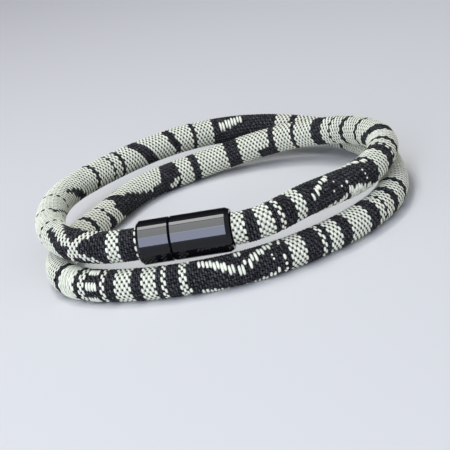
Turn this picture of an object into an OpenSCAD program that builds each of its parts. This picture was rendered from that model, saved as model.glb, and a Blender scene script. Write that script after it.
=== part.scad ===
// Rope bracelet: one woven cotton rope that goes round the wrist twice. Its two ends
// are glued into a barrel clasp of two halves, which a pair of magnets holds shut.
// The lower turn rests on z = 0 and the clasp lies on it, along the front of the loop.

/* [Rope] */
// Diameter of the woven rope
rope_d = 6.0; // [5.4:0.1:6.0]
// Clearance between the rope and the wall of its bore, filled with glue on the real clasp
glue_gap = 0.1; // [0.05:0.05:0.15]

/* [Clasp barrel] */
// Outer diameter of both halves
barrel_d = 8.1; // [7.9:0.1:8.2]
// Length of the short half that shows, from its open end to the seam
short_len = 6.0; // [5.6:0.1:6.4]
// Length of the long half that shows, from the seam to its open end
long_len = 11.0; // [10.6:0.1:11.4]
// Hairline gap between the two halves
seam_gap = 0.1; // [0.05:0.05:0.2]
// How deep the bevel at each open end cuts into the barrel
end_bevel = 0.4; // [0.2:0.05:0.45]
// Length of the bevel on the short half
short_bevel_len = 0.5; // [0.3:0.1:0.7]
// Length of the bevel on the long half
long_bevel_len = 0.8; // [0.4:0.1:1.2]
// Fine bevel on both edges of the seam
seam_bevel = 0.2; // [0.1:0.05:0.3]

/* [Clasp inside] */
// Depth of the rope's bore in the short half
short_bore = 4.8; // [4:0.1:5]
// Depth of the rope's bore in the long half
long_bore = 5.4; // [4.8:0.1:5.5]
// Diameter of the spigot on the short half, which plugs into the long one
spigot_d = 6.0; // [5.6:0.1:6.2]
// Length of the spigot
spigot_len = 2.6; // [2.3:0.1:2.8]
// Diameter of each magnet
magnet_d = 4.0; // [3:0.1:4.2]
// Thickness of each magnet
magnet_len = 1.6; // [1.2:0.1:1.7]
// Clearance round the magnets and round the spigot
fit_gap = 0.05; // [0.03:0.01:0.08]

/* [Hidden] */

// Sides of the rope's tube, and rings of the tube to each step of its route
rope_sides = 24;
rings_per_step = 6;
// Radius of the rope, and height of its centre line where it lies on the surface
rope_r = rope_d / 2;
// Radius of the bore that takes the rope
bore_r = rope_r + glue_gap;
// Flare at the mouth of each bore
mouth_flare = 0.1;
// Length of the closed clasp
clasp_len = short_len + long_len;
// Middle of the clasp's axis, in plan and above the surface, and its turn about Z
clasp_mid = [-8.3, -32.1, 9.6];
clasp_turn = -8;
clasp_axis = [cos(clasp_turn), sin(clasp_turn), 0];
short_end = clasp_mid - clasp_axis * clasp_len / 2;
long_end = clasp_mid + clasp_axis * clasp_len / 2;
// How far the rope runs straight as it leaves each half of the clasp
short_run = 6;
long_run = 4;
// Roundness of everything that is turned
$fn = 96;

// Middle that the rope's route is measured from
loop_mid = [-0.1, -1.3];
// Route of the rope, from the long half of the clasp round to the short one.
// Columns: angle in degrees, distance from the middle, lift of the rope off the surface.
ANGLE = 0;
REACH = 1;
LIFT = 2;
first_turn = [
    [-72, 32.3, 7.3],
    [-60, 30.6, 7.6],
    [-40, 31.5, 6.4],
    [-20, 33.0, 6.4],
    [0, 35.0, 6.6],
    [20, 34.2, 6.0],
    [40, 34.2, 4.4],
    [60, 33.0, 3.0],
    [80, 30.5, 1.4],
    [100, 29.0, 0.1],
    [120, 28.5, 0],
    [140, 27.0, 0],
    [160, 26.0, 0],
    [180, 30.2, 0],
    [200, 37.2, 0],
    [220, 41.2, 0],
    [240, 38.0, 0]
];
second_turn = [
    [260, 36.0, 0],
    [280, 34.8, 0],
    [300, 33.8, 0],
    [320, 34.4, 0],
    [340, 35.5, 0],
    [360, 34.8, 0],
    [380, 37.8, 0],
    [400, 40.5, 0.6],
    [420, 40.6, 2.6],
    [440, 39.0, 4.6],
    [460, 36.4, 5.5],
    [480, 34.2, 5.5],
    [500, 33.8, 5.4],
    [520, 35.3, 5.7],
    [540, 35.3, 5.9],
    [560, 36.8, 6.1],
    [580, 38.3, 6.8]
];

// Place of one row of the route
function row_place(row) = [
    loop_mid.x + row[REACH] * cos(row[ANGLE]),
    loop_mid.y + row[REACH] * sin(row[ANGLE]),
    rope_r + row[LIFT]
];

// Guide points of the route: three in line at each end of the clasp, the rows between
guides = concat(
    [for (k = [-1:1]) long_end + clasp_axis * k * long_run],
    [for (row = concat(first_turn, second_turn)) row_place(row)],
    [for (k = [-1:1]) short_end + clasp_axis * k * short_run]
);

// Weights of four guide points at u, from 0 to 1, on a smooth curve
function weights(u) = [pow(1 - u, 3), 3 * pow(u, 3) - 6 * u * u + 4,
                       -3 * pow(u, 3) + 3 * u * u + 3 * u + 1, pow(u, 3)] / 6;

// Point of the curve on step k
function curve_point(k, u) = weights(u) * [guides[k], guides[k + 1], guides[k + 2], guides[k + 3]];

// Centre line of the rope, with its straight ends down in the two bores
last_step = len(guides) - 4;
centre_line = concat(
    [long_end - clasp_axis * (long_bore - glue_gap)],
    [for (k = [0:last_step]) for (i = [0:rings_per_step - 1]) curve_point(k, i / rings_per_step)],
    [curve_point(last_step, 1)],
    [short_end + clasp_axis * (short_bore - glue_gap)]
);

// Direction of a line of points at point i
function unit(v) = v / norm(v);
function heading(line, i) = unit(line[min(i + 1, len(line) - 1)] - line[max(i - 1, 0)]);

// Ring of points about point i of a line, the first one on the outer side of the turn
function ring(line, i, radius, sides) =
    let (ahead = heading(line, i), out = unit(cross(ahead, [0, 0, 1])), up = cross(out, ahead))
    [for (s = [0:sides - 1]) line[i] + radius * (cos(360 * s / sides) * out + sin(360 * s / sides) * up)];

// Solid tube along a line of points
module tube(line, radius, sides) {
    count = len(line);
    points = [for (i = [0:count - 1]) each ring(line, i, radius, sides)];
    walls = [for (i = [0:count - 2]) for (s = [0:sides - 1])
        let (a = i * sides + s, b = i * sides + (s + 1) % sides)
        each [[a, b, a + sides], [b, b + sides, a + sides]]];
    start_cap = [for (s = [sides - 1:-1:0]) s];
    end_cap = [for (s = [0:sides - 1]) (count - 1) * sides + s];
    polyhedron(points = points, faces = concat(walls, [start_cap, end_cap]), convexity = 10);
}

// Puts a turned piece on the clasp's axis: its z = 0 goes to the short half's open end
module on_clasp() {
    translate(short_end)
        rotate([0, 0, clasp_turn])
            rotate([0, 90, 0])
                children();
}

// Bore for the rope with a flared mouth at z = 0, going up
module rope_bore(depth) {
    cylinder(r = bore_r, h = depth);
    translate([0, 0, -mouth_flare])
        cylinder(r1 = bore_r + 2 * mouth_flare, r2 = bore_r, h = 2 * mouth_flare);
}

// Barrel from z = 0 to its length, with a bevel of its own at each end,
// given as [cut into the radius, length along the barrel]
module barrel(length, low_bevel, high_bevel) {
    barrel_r = barrel_d / 2;
    rotate_extrude()
        polygon([
            [0, 0],
            [barrel_r - low_bevel[0], 0],
            [barrel_r, low_bevel[1]],
            [barrel_r, length - high_bevel[1]],
            [barrel_r - high_bevel[0], length],
            [0, length]
        ]);
}

// Round pocket or hole that lets a piece of this diameter in with the fit's clearance
module pocket(diameter, depth) {
    cylinder(d = diameter + 2 * fit_gap, h = depth);
}

// Bevel on both edges of the seam
seam_edge = [seam_bevel, seam_bevel];
// Free end of the spigot, measured from the short half's open end
spigot_end = short_len + spigot_len;
// Depth of a magnet's pocket
magnet_seat = magnet_len + fit_gap;

module woven_rope() {
    color([0.62, 0.63, 0.60])
        tube(centre_line, rope_r, rope_sides);
}

module clasp_short_half() {
    color([0.10, 0.10, 0.13])
        on_clasp()
            difference() {
                union() {
                    barrel(short_len, [end_bevel, short_bevel_len], seam_edge);
                    cylinder(d = spigot_d, h = spigot_end);
                }
                rope_bore(short_bore);
                translate([0, 0, spigot_end - magnet_seat])
                    pocket(magnet_d, magnet_seat + 1);
            }
}

module clasp_long_half() {
    color([0.10, 0.10, 0.13])
        on_clasp()
            difference() {
                translate([0, 0, short_len + seam_gap])
                    barrel(long_len - seam_gap, seam_edge, [end_bevel, long_bevel_len]);
                translate([0, 0, short_len])
                    pocket(spigot_d, spigot_len + 2 * fit_gap);
                translate([0, 0, spigot_end])
                    pocket(magnet_d, 2 * fit_gap + magnet_seat);
                translate([0, 0, clasp_len])
                    mirror([0, 0, 1])
                        rope_bore(long_bore);
            }
}

module short_half_magnet() {
    color([0.72, 0.72, 0.74])
        on_clasp()
            translate([0, 0, spigot_end - magnet_len])
                cylinder(d = magnet_d, h = magnet_len - fit_gap);
}

module long_half_magnet() {
    color([0.72, 0.72, 0.74])
        on_clasp()
            translate([0, 0, spigot_end + 3 * fit_gap])
                cylinder(d = magnet_d, h = magnet_len - fit_gap);
}

woven_rope();
clasp_short_half();
clasp_long_half();
short_half_magnet();
long_half_magnet();
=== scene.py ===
"""Woven rope bracelet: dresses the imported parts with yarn, polished steel and a plain studio."""

import math

import bpy
from bpy.props import FloatProperty, FloatVectorProperty, IntProperty, PointerProperty
from mathutils import Matrix, Vector


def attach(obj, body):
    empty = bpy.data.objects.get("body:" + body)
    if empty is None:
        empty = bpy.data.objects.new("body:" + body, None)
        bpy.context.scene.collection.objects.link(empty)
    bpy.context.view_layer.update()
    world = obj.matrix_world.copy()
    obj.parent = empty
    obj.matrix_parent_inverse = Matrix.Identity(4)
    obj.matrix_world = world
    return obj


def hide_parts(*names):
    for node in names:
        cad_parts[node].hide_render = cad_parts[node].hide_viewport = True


bl_info = {
    "name": "Woven rope bracelet",
    "version": (1, 0, 0),
    "blender": (4, 2, 0),
    "location": "3D View > Sidebar > Bracelet",
    "description": "A double loop of woven cotton rope with a polished barrel clasp",
    "category": "Add Mesh",
}

MM = 0.001
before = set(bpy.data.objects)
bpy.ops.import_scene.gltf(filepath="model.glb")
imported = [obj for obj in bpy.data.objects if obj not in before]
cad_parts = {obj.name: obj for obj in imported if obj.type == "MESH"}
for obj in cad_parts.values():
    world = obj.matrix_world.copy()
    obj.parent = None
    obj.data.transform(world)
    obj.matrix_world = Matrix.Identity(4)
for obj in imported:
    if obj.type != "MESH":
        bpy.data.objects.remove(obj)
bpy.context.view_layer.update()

# Middle and height of the clasp, its turn and its length
CLASP_MIDDLE = Vector((-8.3, -32.1, 9.6)) * MM
CLASP_TURN = math.radians(-8)
CLASP_LENGTH = 17.0 * MM
CLASP_AXIS = Vector((math.cos(CLASP_TURN), math.sin(CLASP_TURN), 0))
LONG_END = CLASP_MIDDLE + CLASP_AXIS * CLASP_LENGTH / 2
SHORT_END = CLASP_MIDDLE - CLASP_AXIS * CLASP_LENGTH / 2
# How far the rope goes into each half of the clasp, and how far it runs straight beside it
INTO_LONG_HALF, LONG_RUN = 5.2 * MM, 4.0 * MM
INTO_SHORT_HALF, SHORT_RUN = 4.6 * MM, 6.0 * MM

# Route of the rope round the wrist, from the long half to the short one.
# Columns: angle in degrees, distance from the middle and height in millimetres.
LOOP_MIDDLE = Vector((-0.1, -1.3, 0)) * MM
ROUTE = (
    (-72, 32.3, 10.3), (-60, 30.6, 10.6), (-40, 31.5, 9.4), (-20, 33.0, 9.4), (0, 35.0, 9.6),
    (20, 34.2, 9.0), (40, 34.2, 7.4), (60, 33.0, 6.0), (80, 30.5, 4.4),
    (100, 29.0, 3.1), (120, 28.5, 3.0), (140, 27.0, 3.0), (160, 26.0, 3.0),
    (180, 30.2, 3.0), (200, 37.2, 3.0), (220, 41.2, 3.0), (240, 38.0, 3.0),
    (260, 36.0, 3.0), (280, 34.8, 3.0), (300, 33.8, 3.0), (320, 34.4, 3.0),
    (340, 35.5, 3.0), (360, 34.8, 3.0), (380, 37.8, 3.0), (400, 40.5, 3.6),
    (420, 40.6, 5.6), (440, 39.0, 7.6), (460, 36.4, 8.5), (480, 34.2, 8.5),
    (500, 33.8, 8.4), (520, 35.3, 8.7), (540, 35.3, 8.9), (560, 36.8, 9.1),
    (580, 38.3, 9.8),
)

# Bands of weft in order from the long half of the clasp: yarn, and where the band ends in
# millimetres along the rope
WHITE, BLACK = "white", "black"
BANDS = (
    (WHITE, 2.3), (BLACK, 4.2), (WHITE, 7.0), (BLACK, 7.8), (WHITE, 8.8), (BLACK, 10.8),
    (WHITE, 13.2), (BLACK, 33.0), (WHITE, 37.7), (BLACK, 40.1), (WHITE, 40.9), (BLACK, 41.2),
    (WHITE, 43.4), (BLACK, 44.7), (WHITE, 59.7), (BLACK, 60.5), (WHITE, 65.6), (BLACK, 66.8),
    (WHITE, 70.5), (BLACK, 70.9), (WHITE, 73.5), (BLACK, 76.5), (WHITE, 81.5), (BLACK, 82.4),
    (WHITE, 87.1), (BLACK, 88.3), (WHITE, 96.1), (BLACK, 99.1), (WHITE, 106.5),
    (BLACK, 108.3), (WHITE, 111.8), (BLACK, 139.2), (WHITE, 143.8), (BLACK, 145.0),
    (WHITE, 149.0), (BLACK, 150.0), (WHITE, 169.5), (BLACK, 170.8), (WHITE, 175.0),
    (BLACK, 175.9), (WHITE, 177.0), (BLACK, 180.3), (WHITE, 181.2), (BLACK, 183.0),
    (WHITE, 186.1), (BLACK, 188.0), (WHITE, 190.6), (BLACK, 191.6), (WHITE, 192.5),
    (BLACK, 194.4), (WHITE, 196.0), (BLACK, 213.9), (WHITE, 217.1), (BLACK, 220.1),
    (WHITE, 221.3), (BLACK, 222.2), (WHITE, 224.8), (BLACK, 227.2), (WHITE, 231.8),
    (BLACK, 234.8), (WHITE, 236.3), (BLACK, 237.1), (WHITE, 239.8), (BLACK, 241.6),
    (WHITE, 245.1), (BLACK, 246.4), (WHITE, 268.0), (BLACK, 269.0), (WHITE, 284.0),
    (BLACK, 285.0), (WHITE, 290.7), (BLACK, 293.4), (WHITE, 298.7), (BLACK, 299.9),
    (WHITE, 303.3), (BLACK, 319.0), (WHITE, 323.4), (BLACK, 324.4), (WHITE, 343.9),
    (BLACK, 344.9), (WHITE, 347.0), (BLACK, 347.5), (WHITE, 352.4), (BLACK, 353.5),
    (WHITE, 370.6), (BLACK, 371.0), (WHITE, 379.6), (BLACK, 380.0), (WHITE, 388.2),
    (BLACK, 388.6), (WHITE, 391.5), (BLACK, 407.0), (WHITE, 409.3), (BLACK, 412.0),
    (WHITE, 413.0),
)

# Figures woven across the bands: yarn, how many times the figure repeats round the rope, and
# its corners as length along the rope in millimetres and angle round it in degrees
FIGURES = (
    (WHITE, 2, ((24.4, -14), (25.8, -22), (27.4, -12), (28.6, -36), (30.2, -62), (26.0, -62),
                (25.0, -38))),
    (WHITE, 2, ((22.4, -30), (23.6, -22), (23.6, -44), (22.8, -62), (21.2, -62))),
    (BLACK, 1, ((49.2, 40), (49.4, 100), (50.6, 140), (53.4, 180), (55.0, 215),
                (58.4, 215), (56.8, 180), (54.2, 140), (53.2, 100), (53.0, 40))),
    (BLACK, 1, ((87.8, 187), (91.6, 187), (91.6, 290), (87.8, 290))),
    (WHITE, 2, ((115.0, 60), (116.6, 118), (117.8, 165), (121.0, 182), (125.6, 160),
                (131.0, 118), (132.4, 60))),
    (WHITE, 2, ((134.0, 50), (134.6, 118), (135.9, 150), (134.6, 180), (132.6, 225),
                (136.0, 225), (138.0, 180), (138.6, 150), (138.6, 50))),
    (WHITE, 2, ((112.3, 180), (112.8, 225), (115.2, 225), (114.8, 190))),
    (BLACK, 1, ((327.2, 230), (328.9, 230), (329.8, 190), (330.6, 150), (330.9, 80),
                (329.2, 80), (328.8, 150), (328.0, 190))),
    (BLACK, 1, ((334.0, 235), (336.6, 235), (337.8, 200), (339.1, 155), (340.6, 90),
                (340.8, 60), (338.4, 60), (337.8, 90), (336.4, 155), (335.0, 200))),
    (BLACK, 1, ((356.8, 232), (359.8, 232), (362.6, 195), (364.4, 168), (367.4, 148),
                (366.4, 138), (362.8, 150), (361.4, 168), (359.4, 190))),
    (BLACK, 1, ((369.0, 225), (370.5, 225), (375.0, 190), (380.0, 140), (382.0, 112),
                (380.8, 110), (378.8, 138), (373.8, 186))),
    (WHITE, 2, ((391.3, 118), (396.0, 88), (400.0, 46), (401.6, 22), (399.2, 14),
                (396.0, 48), (391.3, 72))),
    (WHITE, 2, ((400.0, 40), (402.2, 5), (404.2, -18), (406.3, -45), (406.3, -70),
                (404.0, -42), (401.8, -25), (399.9, -8))),
    (WHITE, 2, ((399.9, 14), (401.3, 14), (402.3, 38), (403.3, 55), (404.4, 85),
                (405.2, 115), (402.6, 115), (401.9, 80), (400.6, 48))),
    (WHITE, 2, ((399.9, 20), (401.3, 20), (400.9, -20), (400.2, -60), (398.6, -60),
                (399.6, -15))),
    (WHITE, 2, ((391.3, 50), (394.0, 28), (396.2, 0), (396.8, -60), (391.3, -60))),
)

# Long white floats on the dark bands. Each run of floats has its length in degrees, how many
# times it repeats round the rope, then the places of its middles: length along the rope in
# millimetres and angle in degrees.
FLOATS = (
    (32, 1, ((204.8, 81), (205.5, 82))),
    (34, 2, ((21.5, -57), (22.1, -47), (22.7, -37), (23.3, -29), (24.1, -5), (24.7, -8),
             (25.3, -22), (26.0, -13), (26.6, -12), (27.2, -17), (27.8, -32), (28.4, -40),
             (29.0, -48), (29.6, -56), (25.4, -54), (26.0, -47), (26.6, -46), (27.2, -51))),
    (50, 3, ((311.9, 118), (312.6, 116), (313.3, 128), (314.0, 126), (314.7, 138),
             (315.4, 136), (316.2, 148), (316.9, 146))),
    (40, 3, ((204.9, 14), (205.5, 13), (206.9, 28), (208.1, 49))),
    (37, 3, ((198.3, 71), (199.0, 70), (199.7, 62), (200.3, 63), (200.9, 50), (201.5, 53),
             (202.1, 38), (202.6, 41), (203.3, 23), (203.9, 26), (16.4, 34))),
    (32, 3, ((207.4, 50), (208.8, 65), (209.4, 62), (210.1, 78), (210.8, 75), (211.5, 92),
             (15.2, 22), (29.4, 90), (30.0, 89))),
    (26, 3, ((17.4, 46), (19.3, 67), (19.8, 70), (31.0, 71), (31.7, 70), (25.8, 106), (27.0, 104),
             (28.3, 99))),
    (21, 3, ((206.0, 38), (212.8, 17), (18.3, 62), (20.5, 82), (16.9, 46), (196.3, -25))),
    (13, 3, ((212.8, 75), (212.9, -9), (213.0, -33), (23.7, 26))),
    (9, 3, ((210.8, 37), (210.9, 22), (20.1, 12), (20.9, 45), (22.2, 19), (28.8, 41),
            (28.9, 24), (29.0, 6))),
)

# Belts of floats side by side: place of the first and last one along the rope in millimetres,
# number of floats, angle of the first, turn from one to the next, length of a float in degrees,
# and how many there are round the rope. The first belt is a row of small boxes, and in the
# second one the floats lie end to end and hide the warp.
FLOAT_BELTS = (
    (177.75, 179.4, 4, 20, 0, 34, 6),
    (171.45, 174.35, 7, 0, 23, 74, 6),
)

# Faces round one grain of yarn, and along a grain of weft, a grain of warp and a long float
GRAIN_SIDES = 6
WEFT_RINGS, WARP_RINGS, FLOAT_RINGS = 5, 3, 8
# Sizes of a grain. Its end dip is how far its ends go down between their neighbours.
WEFT_GRAIN = {"Grain length": 1.12 * MM, "Grain width": 0.54 * MM, "Grain height": 0.46 * MM,
              "End dip": 0.1 * MM, "Rings": WEFT_RINGS, "Unevenness": 0.06}
WARP_GRAIN = {"Grain length": 0.5 * MM, "Grain width": 0.44 * MM, "Grain height": 0.36 * MM,
              "End dip": 0.03 * MM, "Rings": WARP_RINGS, "Unevenness": 0.06,
              "Lean": math.radians(90)}
# Height of a float's middle over the weft's, and height that its length is measured at
FLOAT_SEAT, FLOAT_REACH = 0.13 * MM, 0.15 * MM
# Width of a float that lies by itself, of one that meets the next, and height of both
FLOAT_WIDTH, MEETING_WIDTH, FLOAT_HEIGHT = 0.62 * MM, 0.38 * MM, 0.46 * MM
# Greatest width and height of a short float, as shares of its length
WIDTH_SHARE, HEIGHT_SHARE = 0.9, 0.7
# Least depth that the ends of a float dive under, and how it slants and varies in size
FLOAT_DIVE, FLOAT_LEAN, FLOAT_UNEVENNESS = 0.05 * MM, math.radians(-5), 0.04
# Lengths in degrees past which a float needs more rings, and past which it meets the next one
LONG_FLOAT, MEETING_FLOAT = 15, 60
# Random seed of the floats, to which their length in degrees is added
FLOAT_SEED = 40
# The last row of weft stays this far from the end of the rope
LAST_ROW_GAP = 0.1 * MM
# Points to each step of the route: of the curve that the yarn follows, and of the cord's path
ROUTE_FINENESS, PATH_FINENESS = 24, 6
# A piece of weft is split where it would pass this many grains, and one of warp at twice as many
GRAINS_PER_PIECE = 4000

# Features to the metre of the patterns in the materials
FIBRE_FINENESS, FLECK_FINENESS, CLOUD_FINENESS = 9000.0, 2600.0, 420.0
PATCH_FINENESS, NICKEL_FINENESS, BOARD_FINENESS = 260.0, 1500.0, 9.0
STREAK_FINENESS = (12000.0, 700.0, 700.0)
# Shares of a grain's own tone, of the fibres and of the clouds in the colour of the yarn
TONE_SHARE, FIBRE_SHARE, CLOUD_SHARE = 0.45, 0.35, 0.3
# Values of the patterns between which the yarn's colour, its flecks and the streaks on steel
# build up, and heights on a grain between which its painted shade fades out towards the top
TONE_RANGE, FLECK_RANGE, STREAK_RANGE = (0.3, 0.8), (0.52, 0.72), (0.1, 0.5)
RISE_RANGE = (0.15, 0.85)
# Roughness of the cotton, of its sheen and of the board, and relief of the fibres
COTTON_ROUGHNESS, SHEEN_ROUGHNESS, BOARD_ROUGHNESS = 0.8, 0.4, 0.8
FIBRE_RELIEF, FIBRE_DEPTH = 0.35, 0.05 * MM
# Least and greatest roughness: of the steel as shares of its coat's, and of the nickel
COAT_SPREAD, NICKEL_ROUGHNESS = (0.6, 1.8), (0.15, 0.35)

# Width of the camera's sensor in millimetres, and half the side of the floor in metres
SENSOR_WIDTH = 36
FLOOR_REACH = 3.0
# The floor's darkest mottle as a share of its colour
MOTTLE = 0.985
# Lamps, which stand where the clasp mirrors them to the camera as three bands. Columns: name,
# place, lengths of the two sides, direction that it looks in, direction of the second side,
# watts and colour.
LAMPS = (
    ("top_softbox", (-0.135, -0.2387, 0.45), (0.095, 0.43), (0, 0, -1), (0.176, 0.984, 0),
     0.86, (0.97, 1.0, 1.0)),
    ("rear_strip", (-0.0795, 0.0713, 0.45), (0.095, 0.16), (0, 0, -1), (0.176, 0.984, 0),
     0.57, (1.0, 1.0, 0.98)),
    ("front_softbox", (-0.188, -0.532, 0.285), (0.122, 0.55), (0, 1, 0), (0, 0, 1),
     2.5, (0.69, 0.76, 1.0)),
)
# Angle above the floor, in front, where the surrounding light is brightest
AIR_TILT = math.radians(35)
# Cosines of the angles from there where it is darkest and brightest, and its least strength
AIR_FAR, AIR_NEAR, AIR_LEAST = -0.4, 0.7, 0.04


# Sizes and colours that a user may change

class BraceletRope(bpy.types.PropertyGroup):
    """Sizes and colours of the woven rope"""

    bed_radius: FloatProperty(
        name="Bed radius", description="Radius of the closed bed under the grains of yarn",
        default=2.86 * MM, min=2.6 * MM, max=2.95 * MM, unit="LENGTH", precision=5)
    seat_radius: FloatProperty(
        name="Seat radius", description="Distance of the yarn's middle from the rope's centre",
        default=2.8 * MM, min=2.6 * MM, max=2.95 * MM, unit="LENGTH", precision=5)
    row_pitch: FloatProperty(
        name="Row pitch", description="Distance from one row of weft to the next",
        default=0.45 * MM, min=0.4 * MM, max=0.6 * MM, unit="LENGTH", precision=5)
    warps: IntProperty(
        name="Warps", description="Number of warp threads round the rope",
        default=24, min=16, max=32)
    twist: FloatProperty(
        name="Twist", description="Turn of the warp threads to each metre of rope",
        default=math.radians(1500), min=0, max=math.radians(3000), unit="ROTATION")
    lean: FloatProperty(
        name="Lean", description="Slant of each grain of weft",
        default=math.radians(-10), min=math.radians(-30), max=math.radians(30), unit="ROTATION")
    white_yarn: FloatVectorProperty(
        name="White yarn", description="Colour of the off-white cotton",
        default=(0.84, 0.86, 0.7), min=0, max=1, size=3, subtype="COLOR")
    white_fleck: FloatVectorProperty(
        name="White fleck", description="Colour of the darker flecks on the off-white cotton",
        default=(0.72, 0.735, 0.6), min=0, max=1, size=3, subtype="COLOR")
    black_yarn: FloatVectorProperty(
        name="Black yarn", description="Colour of the black cotton",
        default=(0.038, 0.038, 0.041), min=0, max=1, size=3, subtype="COLOR")
    black_fleck: FloatVectorProperty(
        name="Black fleck", description="Colour of the lighter flecks on the black cotton",
        default=(0.17, 0.17, 0.18), min=0, max=1, size=3, subtype="COLOR")


class BraceletClasp(bpy.types.PropertyGroup):
    """Finish of the clasp"""

    coat: FloatVectorProperty(
        name="Coat", description="Colour of the polished black coat",
        default=(0.003, 0.003, 0.0045), min=0, max=1, size=3, subtype="COLOR")
    roughness: FloatProperty(
        name="Roughness", description="Roughness of the polished coat",
        default=0.035, min=0, max=1, subtype="FACTOR")
    mirroring: FloatProperty(
        name="Mirroring", description="Refractive index of the coat: a higher one mirrors more",
        default=1.38, min=1, max=3)
    nickel: FloatVectorProperty(
        name="Nickel", description="Colour of the magnets' plating",
        default=(0.66, 0.64, 0.60), min=0, max=1, size=3, subtype="COLOR")


class BraceletStage(bpy.types.PropertyGroup):
    """Camera, floor and surrounding light"""

    distance: FloatProperty(
        name="Distance", description="Distance of the camera from its aim",
        default=0.2346, min=0.1, max=1, unit="LENGTH")
    elevation: FloatProperty(
        name="Elevation", description="Angle of the camera above the floor",
        default=math.radians(20.5), min=0, max=math.radians(89), unit="ROTATION")
    roll: FloatProperty(
        name="Roll", description="Tilt of the camera about its own axis",
        default=math.radians(-11.8), min=-math.pi, max=math.pi, unit="ROTATION")
    lens: FloatProperty(
        name="Lens", description="Focal length of the camera in millimetres",
        default=99.2, min=20, max=300)
    aim: FloatVectorProperty(
        name="Aim", description="Point that the camera looks at",
        default=(-1.02 * MM, -20.97 * MM, 6.0 * MM), size=3, subtype="TRANSLATION", unit="LENGTH")
    floor_colour: FloatVectorProperty(
        name="Floor", description="Colour of the floor",
        default=(0.68, 0.68, 0.675), min=0, max=1, size=3, subtype="COLOR")
    air_colour: FloatVectorProperty(
        name="Air", description="Colour of the surrounding light",
        default=(0.88, 0.91, 1.0), min=0, max=1, size=3, subtype="COLOR")
    air_strength: FloatProperty(
        name="Air strength", description="Strength of the surrounding light at its brightest",
        default=0.7, min=0, max=5)


# Route of the rope

def guide_points():
    """Points that the rope's curve follows: in line at the clasp, and the rows between."""
    points = [LONG_END + CLASP_AXIS * k * LONG_RUN for k in (-1, 0, 1)]
    for angle, reach, height in ROUTE:
        turn = math.radians(angle)
        place = Vector((reach * math.cos(turn), reach * math.sin(turn), height)) * MM
        points.append(LOOP_MIDDLE + place)
    points += [SHORT_END + CLASP_AXIS * k * SHORT_RUN for k in (-1, 0, 1)]
    return points


def route_points(fineness):
    """Points of the rope's centre line from one end of the clasp to the other."""
    guides = guide_points()
    points = []
    for k in range(len(guides) - 3):
        for i in range(fineness):
            u = i / fineness
            weights = ((1 - u) ** 3, 3 * u ** 3 - 6 * u * u + 4,
                       -3 * u ** 3 + 3 * u * u + 3 * u + 1, u ** 3)
            points.append(sum((w / 6 * p for w, p in zip(weights, guides[k:k + 4])), Vector()))
    return points + [SHORT_END.copy()]


def length_of(points):
    """Length of a line of points."""
    return sum((b - a).length for a, b in zip(points, points[1:]))


def route_curve(name, points):
    """Open curve through the points."""
    data = bpy.data.curves.new(name, "CURVE")
    data.dimensions = "3D"
    spline = data.splines.new("POLY")
    spline.points.add(len(points) - 1)
    for point, place in zip(spline.points, points):
        point.co = (*place, 1)
    route = bpy.data.objects.new(name, data)
    bpy.context.scene.collection.objects.link(route)
    return route


# The woven pattern

def wrapped(angle):
    """The same angle in degrees between -180 and 180."""
    return (angle + 180) % 360 - 180


def on_figure(length, angle, figure):
    """Whether a place on the rope, in millimetres and degrees, lies on a woven figure."""
    _, repeats, corners = figure
    if not min(s for s, _ in corners) < length < max(s for s, _ in corners):
        return False
    middle = sum(a for _, a in corners) / len(corners)
    for r in range(repeats):
        shown = middle + wrapped(angle - middle - 360 * r / repeats)
        inside = False
        for (s0, a0), (s1, a1) in zip(corners, corners[1:] + corners[:1]):
            if (a0 > shown) != (a1 > shown) and length < s0 + (s1 - s0) * (shown - a0) / (a1 - a0):
                inside = not inside
        if inside:
            return True
    return False


def warp_angle(rope, warp, along):
    """Angle of a warp thread at a length along the rope."""
    return 2 * math.pi * warp / rope.warps + rope.twist * along


def weft_rows(rope, rope_length):
    """Every row of weft: its length along the rope, and the yarn that shows at each warp."""
    rows = []
    along = rope.row_pitch
    while along < rope_length - LAST_ROW_GAP:
        band = next(yarn for yarn, end in BANDS if end * MM > along)
        shown = []
        for warp in range(rope.warps):
            angle = math.degrees(warp_angle(rope, warp, along))
            figures = [f[0] for f in FIGURES if on_figure(along / MM, angle, f)]
            shown.append(figures[-1] if figures else band)
        rows.append((along, shown))
        along += rope.row_pitch
    return rows


def weave_chart(rope, rows):
    """Places of the grains as (length, angle) in metres and radians: white and black weft, warp."""
    chart = {WHITE: [], BLACK: [], "warp": []}
    for row, (along, shown) in enumerate(rows):
        for warp, yarn in enumerate(shown):
            kind = "warp" if (row + warp) % 2 else yarn
            chart[kind].append((along, warp_angle(rope, warp, along)))
    return chart


def float_chart():
    """Places and lengths of the long white floats, as (length, angle, length in degrees)."""
    floats = []
    for size, repeats, middles in FLOATS:
        floats += [(along, angle + 360 * r / repeats, size)
                   for along, angle in middles for r in range(repeats)]
    for first, last, count, angle, turn, size, repeats in FLOAT_BELTS:
        for i in range(count):
            along = first + (last - first) * i / (count - 1)
            floats += [(along, angle + turn * i + 360 * r / repeats, size) for r in range(repeats)]
    return [(along * MM, math.radians(angle), size) for along, angle, size in floats]


def chart_mesh(name, places):
    """Mesh of loose points at the flat places of a chart, which starts where the rope leaves
    the clasp. The route starts inside the long half."""
    mesh = bpy.data.meshes.new(name)
    mesh.from_pydata([(INTO_LONG_HALF + along, angle, 0) for along, angle in places], [], [])
    return mesh


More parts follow.
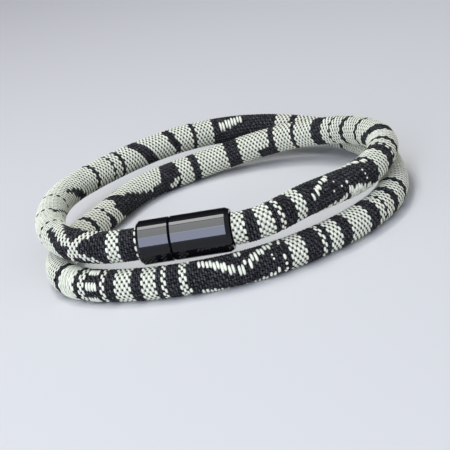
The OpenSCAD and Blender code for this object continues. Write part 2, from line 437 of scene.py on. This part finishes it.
def bed_mesh(name, rope, rows, rope_length):
    """Flat chart of the closed tube under the yarn, its faces marked light under white yarn."""
    warps = rope.warps
    rings = [-INTO_LONG_HALF] + [rope.row_pitch * (row + 0.5) for row in range(len(rows) + 1)]
    rings.append(rope_length + INTO_SHORT_HALF)
    points = [(INTO_LONG_HALF + along, warp_angle(rope, warp - 0.5, along), 0)
              for along in rings for warp in range(warps)]
    faces = [(a + warp, a + (warp + 1) % warps, a + warps + (warp + 1) % warps, a + warps + warp)
             for a in range(0, len(points) - warps, warps) for warp in range(warps)]
    light = [False] * warps
    for row, (_, shown) in enumerate(rows):
        before, after = rows[max(row - 1, 0)][1], rows[min(row + 1, len(rows) - 1)][1]
        light += [shown[w] == WHITE and ((row + w) % 2 == 0 or before[w] == after[w] == WHITE)
                  for w in range(warps)]
    faces += [tuple(reversed(range(warps))), tuple(range(len(points) - warps, len(points)))]
    light += [False] * (len(faces) - len(light))
    mesh = bpy.data.meshes.new(name)
    mesh.from_pydata(points, [], faces)
    mesh.attributes.new("light", "BOOLEAN", "FACE").data.foreach_set("value", light)
    return mesh


# Geometry nodes

def add_node(tree, kind, inputs=None, **settings):
    """Adds a node, sets it and joins or fills its inputs."""
    made = tree.nodes.new(kind)
    for name, value in settings.items():
        setattr(made, name, value)
    for name, value in (inputs or {}).items():
        socket = made.inputs[name]
        if isinstance(value, bpy.types.NodeSocket):
            tree.links.new(value, socket)
        else:
            socket.default_value = value
    return made


def maths(tree, operation, *values):
    """Output of a Math node."""
    return add_node(tree, "ShaderNodeMath", dict(enumerate(values)), operation=operation).outputs[0]


def product(tree, first, *others):
    """Output that multiplies all the values."""
    for value in others:
        first = maths(tree, "MULTIPLY", first, value)
    return first


def vectors(tree, operation, *values):
    """Output of a Vector Math node."""
    made = add_node(tree, "ShaderNodeVectorMath", operation=operation)
    for slot, value in enumerate(values):
        socket = made.inputs["Scale" if operation == "SCALE" and slot == 1 else slot]
        if isinstance(value, bpy.types.NodeSocket):
            tree.links.new(value, socket)
        else:
            socket.default_value = value
    return made.outputs["Vector"]


def new_tree(name, sockets):
    """Geometry node group with the named inputs, and its group input node."""
    tree = bpy.data.node_groups.new(name, "GeometryNodeTree")
    tree.interface.new_socket("Geometry", in_out="INPUT", socket_type="NodeSocketGeometry")
    for title, kind in sockets:
        tree.interface.new_socket(title, in_out="INPUT", socket_type="NodeSocket" + kind)
    tree.interface.new_socket("Geometry", in_out="OUTPUT", socket_type="NodeSocketGeometry")
    return tree, tree.nodes.new("NodeGroupInput")


def finish_tree(tree, geometry):
    """Ends a tree with its output."""
    add_node(tree, "NodeGroupOutput", {"Geometry": geometry})
    return tree


def wrap(tree, take):
    """Lays the points of a flat chart round the route at the seat radius. A point's x is its
    length along the route and its y is its angle round the rope. Gives the seat, and the
    directions out of the rope, around it and along it."""
    place = add_node(tree, "GeometryNodeInputPosition").outputs[0]
    flat = add_node(tree, "ShaderNodeSeparateXYZ", {0: place})
    route = add_node(tree, "GeometryNodeObjectInfo", {"Object": take["Route"]})
    at = add_node(tree, "GeometryNodeSampleCurve",
                  {"Curves": route.outputs["Geometry"], "Length": flat.outputs["X"]}, mode="LENGTH")
    ahead = at.outputs["Tangent"]
    outer = vectors(tree, "NORMALIZE", vectors(tree, "CROSS_PRODUCT", ahead, (0, 0, 1)))
    upper = vectors(tree, "CROSS_PRODUCT", outer, ahead)
    cosine = maths(tree, "COSINE", flat.outputs["Y"])
    sine = maths(tree, "SINE", flat.outputs["Y"])
    out = vectors(tree, "ADD", vectors(tree, "SCALE", outer, cosine),
                  vectors(tree, "SCALE", upper, sine))
    around = vectors(tree, "SUBTRACT", vectors(tree, "SCALE", upper, cosine),
                     vectors(tree, "SCALE", outer, sine))
    seat = vectors(tree, "ADD", at.outputs["Position"],
                   vectors(tree, "SCALE", out, take["Seat radius"]))
    return seat, out, around, ahead


def bed_tree():
    """Tree that wraps the flat bed round the route and colours its light and dark faces."""
    tree, given = new_tree("Rope bed", (
        ("Route", "Object"), ("Seat radius", "Float"), ("Light yarn", "Material"),
        ("Dark yarn", "Material")))
    take = given.outputs
    seat = wrap(tree, take)[0]
    wrapped_bed = add_node(tree, "GeometryNodeSetPosition",
                           {"Geometry": take["Geometry"], "Position": seat})
    smooth = add_node(tree, "GeometryNodeSetShadeSmooth", {"Geometry": wrapped_bed.outputs[0]})
    real = add_node(tree, "GeometryNodeRealizeInstances", {"Geometry": smooth.outputs[0]})
    dark = add_node(tree, "GeometryNodeSetMaterial",
                    {"Geometry": real.outputs[0], "Material": take["Dark yarn"]})
    marked = add_node(tree, "GeometryNodeInputNamedAttribute", {"Name": "light"},
                      data_type="BOOLEAN")
    dyed = add_node(tree, "GeometryNodeSetMaterial",
                    {"Geometry": dark.outputs[0], "Material": take["Light yarn"],
                     "Selection": [s for s in marked.outputs if s.type == "BOOLEAN"][0]})
    return finish_tree(tree, dyed.outputs[0])


def grain_tree():
    """Tree that wraps a flat chart of places round the rope and puts a grain of yarn on each."""
    tree, given = new_tree("Woven grains", (
        ("Route", "Object"), ("Seat radius", "Float"), ("Grain length", "Float"),
        ("Grain width", "Float"), ("Grain height", "Float"), ("End dip", "Float"),
        ("Lean", "Float"), ("Rings", "Int"), ("Unevenness", "Float"), ("Seed", "Int"),
        ("Yarn", "Material")))
    take = given.outputs

    seat, out, around, ahead = wrap(tree, take)
    slanted = vectors(tree, "ADD",
                      vectors(tree, "SCALE", around, maths(tree, "COSINE", take["Lean"])),
                      vectors(tree, "SCALE", ahead, maths(tree, "SINE", take["Lean"])))
    turn = add_node(tree, "FunctionNodeAxesToRotation",
                    {"Primary Axis": out, "Secondary Axis": slanted},
                    primary_axis="Z", secondary_axis="X")
    kept = tree.nodes.new("GeometryNodeCaptureAttribute")
    kept.capture_items.new("ROTATION", "Turn")
    tree.links.new(take["Geometry"], kept.inputs["Geometry"])
    tree.links.new(turn.outputs["Rotation"], kept.inputs["Turn"])
    seated = add_node(tree, "GeometryNodeSetPosition",
                      {"Geometry": kept.outputs["Geometry"], "Position": seat})

    ball = add_node(tree, "GeometryNodeMeshUVSphere",
                    {"Segments": GRAIN_SIDES, "Rings": take["Rings"], "Radius": 1.0})
    spot = add_node(tree, "ShaderNodeSeparateXYZ",
                    {0: add_node(tree, "GeometryNodeInputPosition").outputs[0]})
    along = spot.outputs["Z"]
    bow = maths(tree, "MULTIPLY", along, along)
    # The ball swells towards its ends, so that a grain is blunt
    blunt = maths(tree, "MULTIPLY", maths(tree, "SQRT", maths(tree, "ADD", bow, 1.0)), 0.5)
    length = product(tree, along, take["Grain length"], 0.5)
    width = product(tree, spot.outputs["Y"], take["Grain width"], blunt)
    height = product(tree, spot.outputs["X"], take["Grain height"], blunt)
    dip = product(tree, bow, take["End dip"])
    bent = add_node(tree, "ShaderNodeCombineXYZ",
                    {"X": length, "Y": width, "Z": maths(tree, "SUBTRACT", height, dip)})
    # The height across a grain is kept so that the yarn's material can paint shade into the grain's
    # low sides
    raised = add_node(tree, "GeometryNodeStoreNamedAttribute",
                      {"Geometry": ball.outputs["Mesh"], "Name": "rise",
                       "Value": spot.outputs["X"]}, data_type="FLOAT", domain="POINT")
    grain = add_node(tree, "GeometryNodeSetPosition",
                     {"Geometry": raised.outputs["Geometry"], "Position": bent.outputs[0]})

    least = maths(tree, "SUBTRACT", 1.0, take["Unevenness"])
    most = maths(tree, "ADD", 1.0, take["Unevenness"])
    uneven = add_node(tree, "FunctionNodeRandomValue", data_type="FLOAT_VECTOR")
    sized = [s for s in uneven.inputs if s.name in ("Min", "Max") and s.type == "VECTOR"]
    for socket, value in zip(sized, (least, most)):
        triple = add_node(tree, "ShaderNodeCombineXYZ", {"X": value, "Y": value, "Z": value})
        tree.links.new(triple.outputs[0], socket)
    tree.links.new(take["Seed"], uneven.inputs["Seed"])
    laid = add_node(tree, "GeometryNodeInstanceOnPoints",
                    {"Points": seated.outputs["Geometry"], "Instance": grain.outputs["Geometry"],
                     "Rotation": kept.outputs["Turn"], "Scale": uneven.outputs["Value"]})
    tone = add_node(tree, "FunctionNodeRandomValue", {"Seed": take["Seed"]}, data_type="FLOAT")
    shade = [s for s in tone.outputs if s.name == "Value" and s.type == "VALUE"][0]
    shaded = add_node(tree, "GeometryNodeStoreNamedAttribute",
                      {"Geometry": laid.outputs["Instances"], "Name": "shade", "Value": shade},
                      data_type="FLOAT", domain="INSTANCE")
    real = add_node(tree, "GeometryNodeRealizeInstances", {"Geometry": shaded.outputs["Geometry"]})
    smooth = add_node(tree, "GeometryNodeSetShadeSmooth", {"Geometry": real.outputs["Geometry"]})
    dyed = add_node(tree, "GeometryNodeSetMaterial",
                    {"Geometry": smooth.outputs["Geometry"], "Material": take["Yarn"]})
    return finish_tree(tree, dyed.outputs["Geometry"])


def grown(name, data, tree, values):
    """Runs a tree on an object's data and keeps the result as a plain mesh object."""
    seed = bpy.data.objects.new(name + "_chart", data)
    bpy.context.scene.collection.objects.link(seed)
    modifier = seed.modifiers.new("Growth", "NODES")
    modifier.node_group = tree
    for item in tree.interface.items_tree:
        if item.in_out == "INPUT" and item.name in values:
            modifier[item.identifier] = values[item.name]
    bpy.context.view_layer.update()
    graph = bpy.context.evaluated_depsgraph_get()
    mesh = bpy.data.meshes.new_from_object(
        seed.evaluated_get(graph), preserve_all_data_layers=True, depsgraph=graph)
    bpy.data.objects.remove(seed)
    if not mesh.polygons:
        raise RuntimeError(name + " came out empty")
    mesh.name = name
    piece = bpy.data.objects.new(name, mesh)
    bpy.context.scene.collection.objects.link(piece)
    return piece


# Materials

def new_material(name):
    """Material with nodes, its tree and its main shader."""
    material = bpy.data.materials.new(name)
    material.use_nodes = True
    tree = material.node_tree
    return material, tree, tree.nodes["Principled BSDF"]


def object_place(tree):
    """Output with the place of a point on its own object."""
    return add_node(tree, "ShaderNodeTexCoord").outputs["Object"]


def noise(tree, place, fineness, detail, roughness=0.5):
    """Output of a noise pattern with this many features to the metre."""
    return add_node(tree, "ShaderNodeTexNoise",
                    {"Vector": place, "Scale": fineness, "Detail": detail,
                     "Roughness": roughness}).outputs["Fac"]


def mapped(tree, value, source, target=(0, 1), interpolation="LINEAR"):
    """Output that maps one range of values to another and stays inside it."""
    return add_node(tree, "ShaderNodeMapRange",
                    {"Value": value, "From Min": source[0], "From Max": source[1],
                     "To Min": target[0], "To Max": target[1]},
                    interpolation_type=interpolation).outputs["Result"]


def yarn_material(name, colour, fleck, spread, valley_shade, shine, sheen):
    """Cotton yarn: each grain has its own tone, with fine twisted fibres and flecks on it, and
    shade is painted into its colour where it goes down between its neighbours."""
    material, tree, shader = new_material(name)
    place = object_place(tree)
    tone = add_node(tree, "ShaderNodeAttribute", attribute_name="shade").outputs["Fac"]
    fibre = noise(tree, place, FIBRE_FINENESS, detail=3, roughness=0.6)
    cloud = noise(tree, place, CLOUD_FINENESS, detail=2)
    speck = noise(tree, place, FLECK_FINENESS, detail=3, roughness=0.7)
    texture = maths(tree, "ADD", maths(tree, "MULTIPLY", fibre, FIBRE_SHARE),
                    maths(tree, "MULTIPLY", cloud, CLOUD_SHARE))
    mixed = maths(tree, "ADD", maths(tree, "MULTIPLY", tone, TONE_SHARE), texture)
    ramp = add_node(tree, "ShaderNodeValToRGB", {"Fac": mixed})
    low, high = ramp.color_ramp.elements
    low.position, high.position = TONE_RANGE
    low.color = (*(c * (1 - spread) for c in colour), 1)
    high.color = (*(min(1, c * (1 + spread)) for c in colour), 1)
    flecked = add_node(tree, "ShaderNodeMixRGB",
                       {"Fac": mapped(tree, speck, FLECK_RANGE), "Color1": ramp.outputs["Color"],
                        "Color2": (*fleck, 1)})
    # Painted shade: each grain's colour darkens towards its low sides, where it goes down between
    # its neighbours, to the given share of its colour at the bottom
    rise = add_node(tree, "ShaderNodeAttribute", attribute_name="rise").outputs["Fac"]
    painted_shade = mapped(tree, rise, RISE_RANGE, (valley_shade, 1))
    shaded_colour = vectors(tree, "SCALE", flecked.outputs["Color"], painted_shade)
    tree.links.new(shaded_colour, shader.inputs["Base Color"])
    shader.inputs["Roughness"].default_value = COTTON_ROUGHNESS
    shader.inputs["Specular IOR Level"].default_value = shine
    shader.inputs["Sheen Weight"].default_value = sheen
    shader.inputs["Sheen Roughness"].default_value = SHEEN_ROUGHNESS
    bump = add_node(tree, "ShaderNodeBump",
                    {"Height": fibre, "Strength": FIBRE_RELIEF, "Distance": FIBRE_DEPTH})
    tree.links.new(bump.outputs["Normal"], shader.inputs["Normal"])
    return material


def steel_material(name, clasp):
    """Black mirror-polished coat with the faintest of rubbed streaks."""
    material, tree, shader = new_material(name)
    place = object_place(tree)
    turned = add_node(tree, "ShaderNodeMapping",
                      {"Vector": place, "Rotation": (0, 0, -CLASP_TURN), "Scale": STREAK_FINENESS})
    streak = noise(tree, turned.outputs["Vector"], 1, detail=2)
    patch = noise(tree, place, PATCH_FINENESS, detail=3)
    limits = [clasp.roughness * share for share in COAT_SPREAD]
    rough = mapped(tree, maths(tree, "MULTIPLY", streak, patch), STREAK_RANGE, limits)
    tree.links.new(rough, shader.inputs["Roughness"])
    shader.inputs["Base Color"].default_value = (*clasp.coat, 1)
    shader.inputs["IOR"].default_value = clasp.mirroring
    return material


def nickel_material(name, clasp):
    """Bright nickel plating."""
    material, tree, shader = new_material(name)
    grainy = noise(tree, object_place(tree), NICKEL_FINENESS, detail=3)
    tree.links.new(mapped(tree, grainy, (0, 1), NICKEL_ROUGHNESS), shader.inputs["Roughness"])
    shader.inputs["Base Color"].default_value = (*clasp.nickel, 1)
    shader.inputs["Metallic"].default_value = 1.0
    return material


def floor_material(name, colour):
    """Plain pale board with a barely mottled surface."""
    material, tree, shader = new_material(name)
    mottle = noise(tree, object_place(tree), BOARD_FINENESS, detail=2)
    ramp = add_node(tree, "ShaderNodeValToRGB", {"Fac": mottle})
    ramp.color_ramp.elements[0].color = (*(c * MOTTLE for c in colour), 1)
    ramp.color_ramp.elements[1].color = (*colour, 1)
    tree.links.new(ramp.outputs["Color"], shader.inputs["Base Color"])
    shader.inputs["Roughness"].default_value = BOARD_ROUGHNESS
    return material


def studio_air(stage):
    """Surrounding light that is brightest in front and above. It is dark low at the back, where
    the upper rim of the clasp mirrors it."""
    world = bpy.data.worlds.new("studio_air")
    world.use_nodes = True
    tree = world.node_tree
    air = tree.nodes["Background"]
    air.inputs["Color"].default_value = (*stage.air_colour, 1)
    way = add_node(tree, "ShaderNodeTexCoord").outputs["Generated"]
    bright_side = (0, -math.cos(AIR_TILT), math.sin(AIR_TILT))
    facing = add_node(tree, "ShaderNodeVectorMath", {0: way, 1: bright_side},
                      operation="DOT_PRODUCT")
    strength = mapped(tree, facing.outputs["Value"], (AIR_FAR, AIR_NEAR),
                      (AIR_LEAST, stage.air_strength), "SMOOTHSTEP")
    tree.links.new(strength, air.inputs["Strength"])
    return world


# Yarn of the rope

def weft_and_warp(rope, route, rows, tree, white, black):
    """Pieces of the yarn that crosses on the bed."""
    seat = {"Route": route, "Seat radius": rope.seat_radius}
    weft = {**seat, **WEFT_GRAIN, "Lean": rope.lean}
    warp = {**seat, **WARP_GRAIN}
    chart = weave_chart(rope, rows)
    pieces = []
    for title, kind, sizes, yarn, limit in (
            ("white_weft", WHITE, weft, white, GRAINS_PER_PIECE),
            ("black_weft", BLACK, weft, black, GRAINS_PER_PIECE),
            ("warp", "warp", warp, black, 2 * GRAINS_PER_PIECE)):
        places = chart[kind]
        parts = math.ceil(len(places) / limit)
        for part in range(parts):
            name = "%s_%d" % (title, part + 1)
            share = places[len(places) * part // parts:len(places) * (part + 1) // parts]
            pieces.append(grown(name, chart_mesh(name, share), tree,
                                {**sizes, "Seed": len(pieces) + 1, "Yarn": yarn}))
    return pieces


def long_floats(rope, route, tree, white):
    """Pieces of the long white floats, one for each length of float."""
    by_size = {}
    for along, angle, size in float_chart():
        by_size.setdefault(size, []).append((along, angle))
    pieces = []
    for size in sorted(by_size):
        span = math.radians(size) * (rope.seat_radius + FLOAT_REACH)
        # A float bends with the rope, and it dives deeper unless it meets the next one
        bend = span * span / (8.0 * rope.seat_radius)
        meets = size > MEETING_FLOAT
        dive = FLOAT_DIVE + (0 if meets else bend / 3)
        width = MEETING_WIDTH if meets else FLOAT_WIDTH
        rings = FLOAT_RINGS if size > LONG_FLOAT else WEFT_RINGS
        name = "white_floats_%d" % size
        pieces.append(grown(name, chart_mesh(name, by_size[size]), tree, {
            "Route": route, "Seat radius": rope.seat_radius + FLOAT_SEAT, "Grain length": span,
            "Grain width": min(width, WIDTH_SHARE * span),
            "Grain height": min(FLOAT_HEIGHT, HEIGHT_SHARE * span), "End dip": bend + dive,
            "Lean": FLOAT_LEAN, "Rings": rings, "Unevenness": FLOAT_UNEVENNESS,
            "Seed": FLOAT_SEED + size, "Yarn": white}))
    return pieces


# Operators

class BRACELET_OT_camera(bpy.types.Operator):
    """Places the camera"""

    bl_idname = "bracelet.camera"
    bl_label = "Camera"

    def execute(self, context):
        stage = context.scene.bracelet_stage
        back = Vector((0, -math.cos(stage.elevation), math.sin(stage.elevation)))
        right = Vector((1, 0, 0))
        up = right.cross(-back).normalized()
        rolled_right = right * math.cos(stage.roll) + up * math.sin(stage.roll)
        rolled_up = up * math.cos(stage.roll) - right * math.sin(stage.roll)
        data = bpy.data.cameras.new("studio_camera")
        data.sensor_width = SENSOR_WIDTH
        data.lens = stage.lens
        data.clip_start, data.clip_end = 0.01, 20
        camera = bpy.data.objects.new("studio_camera", data)
        context.scene.collection.objects.link(camera)
        turned = Matrix((rolled_right, rolled_up, back)).transposed().to_4x4()
        camera.matrix_world = Matrix.Translation(Vector(stage.aim) + back * stage.distance) @ turned
        context.scene.camera = camera
        return {"FINISHED"}


class BRACELET_OT_rope(bpy.types.Operator):
    """Weaves the rope: a closed bed, the yarn that crosses on it, and the long white floats"""

    bl_idname = "bracelet.rope"
    bl_label = "Woven rope"

    def execute(self, context):
        rope = context.scene.bracelet_rope
        # Each yarn is given the share of its colour that is left in the painted shade at the bottom
        # of its grains
        white = yarn_material("white_cotton", rope.white_yarn, rope.white_fleck, spread=0.1,
                              valley_shade=0.6, shine=0.25, sheen=0.06)
        black = yarn_material("black_cotton", rope.black_yarn, rope.black_fleck, spread=0.6,
                              valley_shade=0.1, shine=0.05, sheen=0.01)
        inner_start = LONG_END - CLASP_AXIS * INTO_LONG_HALF
        inner_end = SHORT_END + CLASP_AXIS * INTO_SHORT_HALF
        fine = route_points(ROUTE_FINENESS)
        rope_length = length_of(fine)
        route = route_curve("rope_route", [inner_start] + fine + [inner_end])

        rows = weft_rows(rope, rope_length)
        bed = grown("rope_bed", bed_mesh("rope_bed", rope, rows, rope_length), bed_tree(),
                    {"Route": route, "Seat radius": rope.bed_radius, "Light yarn": white,
                     "Dark yarn": black})
        tree = grain_tree()
        pieces = weft_and_warp(rope, route, rows, tree, white, black)
        pieces += long_floats(rope, route, tree, white)
        bpy.data.objects.remove(route)

        for piece in [bed] + pieces:
            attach(piece, "root")
        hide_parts("woven_rope")
        path = [inner_start] + route_points(PATH_FINENESS) + [inner_end]
        return {"FINISHED"}


class BRACELET_OT_clasp(bpy.types.Operator):
    """Gives the clasp its polished black coat and the magnets their plating"""

    bl_idname = "bracelet.clasp"
    bl_label = "Clasp"

    def execute(self, context):
        clasp = context.scene.bracelet_clasp
        steel = steel_material("black_steel", clasp)
        nickel = nickel_material("magnet_nickel", clasp)
        for name, finish in (("clasp_short_half", steel), ("clasp_long_half", steel),
                             ("short_half_magnet", nickel), ("long_half_magnet", nickel)):
            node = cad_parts[name]
            node.data.materials.clear()
            node.data.materials.append(finish)
        return {"FINISHED"}


class BRACELET_OT_stage(bpy.types.Operator):
    """Sets up the floor, the lamps and the surrounding light"""

    bl_idname = "bracelet.stage"
    bl_label = "Stage"

    def execute(self, context):
        stage = context.scene.bracelet_stage
        mesh = bpy.data.meshes.new("studio_floor")
        corners = [(x * FLOOR_REACH, y * FLOOR_REACH, 0)
                   for x, y in ((-1, -1), (1, -1), (1, 1), (-1, 1))]
        mesh.from_pydata(corners, [], [(0, 1, 2, 3)])
        mesh.materials.append(floor_material("pale_board", stage.floor_colour))
        floor = bpy.data.objects.new("studio_floor", mesh)
        context.scene.collection.objects.link(floor)

        for row in LAMPS:
            self.lamp(context, *row)
        context.scene.world = studio_air(stage)
        context.scene.view_settings.view_transform = "Standard"
        return {"FINISHED"}

    @staticmethod
    def lamp(context, name, place, size, facing, along, watts, colour):
        """One rectangular soft lamp, which the camera doesn't see."""
        back, side = -Vector(facing).normalized(), Vector(along).normalized()
        data = bpy.data.lights.new(name, "AREA")
        data.shape = "RECTANGLE"
        data.size, data.size_y = size
        data.energy = watts
        data.color = colour
        lamp = bpy.data.objects.new(name, data)
        turned = Matrix((side.cross(back), side, back)).transposed().to_4x4()
        lamp.matrix_world = Matrix.Translation(place) @ turned
        lamp.visible_camera = False
        context.scene.collection.objects.link(lamp)


class BRACELET_PT_panel(bpy.types.Panel):
    """Sizes, colours and pieces of the bracelet"""

    bl_idname = "BRACELET_PT_panel"
    bl_label = "Bracelet"
    bl_space_type = "VIEW_3D"
    bl_region_type = "UI"
    bl_category = "Bracelet"

    def draw(self, context):
        for group in (context.scene.bracelet_rope, context.scene.bracelet_clasp,
                      context.scene.bracelet_stage):
            box = self.layout.box()
            for name in group.__annotations__:
                box.prop(group, name)
        for operator in OPERATORS:
            self.layout.operator(operator.bl_idname)


GROUPS = (BraceletRope, BraceletClasp, BraceletStage)
OPERATORS = (BRACELET_OT_camera, BRACELET_OT_rope, BRACELET_OT_clasp, BRACELET_OT_stage)


def register():
    for item in GROUPS + OPERATORS + (BRACELET_PT_panel,):
        bpy.utils.register_class(item)
    bpy.types.Scene.bracelet_rope = PointerProperty(type=BraceletRope)
    bpy.types.Scene.bracelet_clasp = PointerProperty(type=BraceletClasp)
    bpy.types.Scene.bracelet_stage = PointerProperty(type=BraceletStage)


def unregister():
    del bpy.types.Scene.bracelet_stage
    del bpy.types.Scene.bracelet_clasp
    del bpy.types.Scene.bracelet_rope
    for item in reversed(GROUPS + OPERATORS + (BRACELET_PT_panel,)):
        bpy.utils.unregister_class(item)


def main():
    """Makes every piece in order."""
    register()
    bpy.ops.bracelet.camera()
    bpy.ops.bracelet.rope()
    bpy.ops.bracelet.clasp()
    bpy.ops.bracelet.stage()


if __name__ == "__main__":
    main()
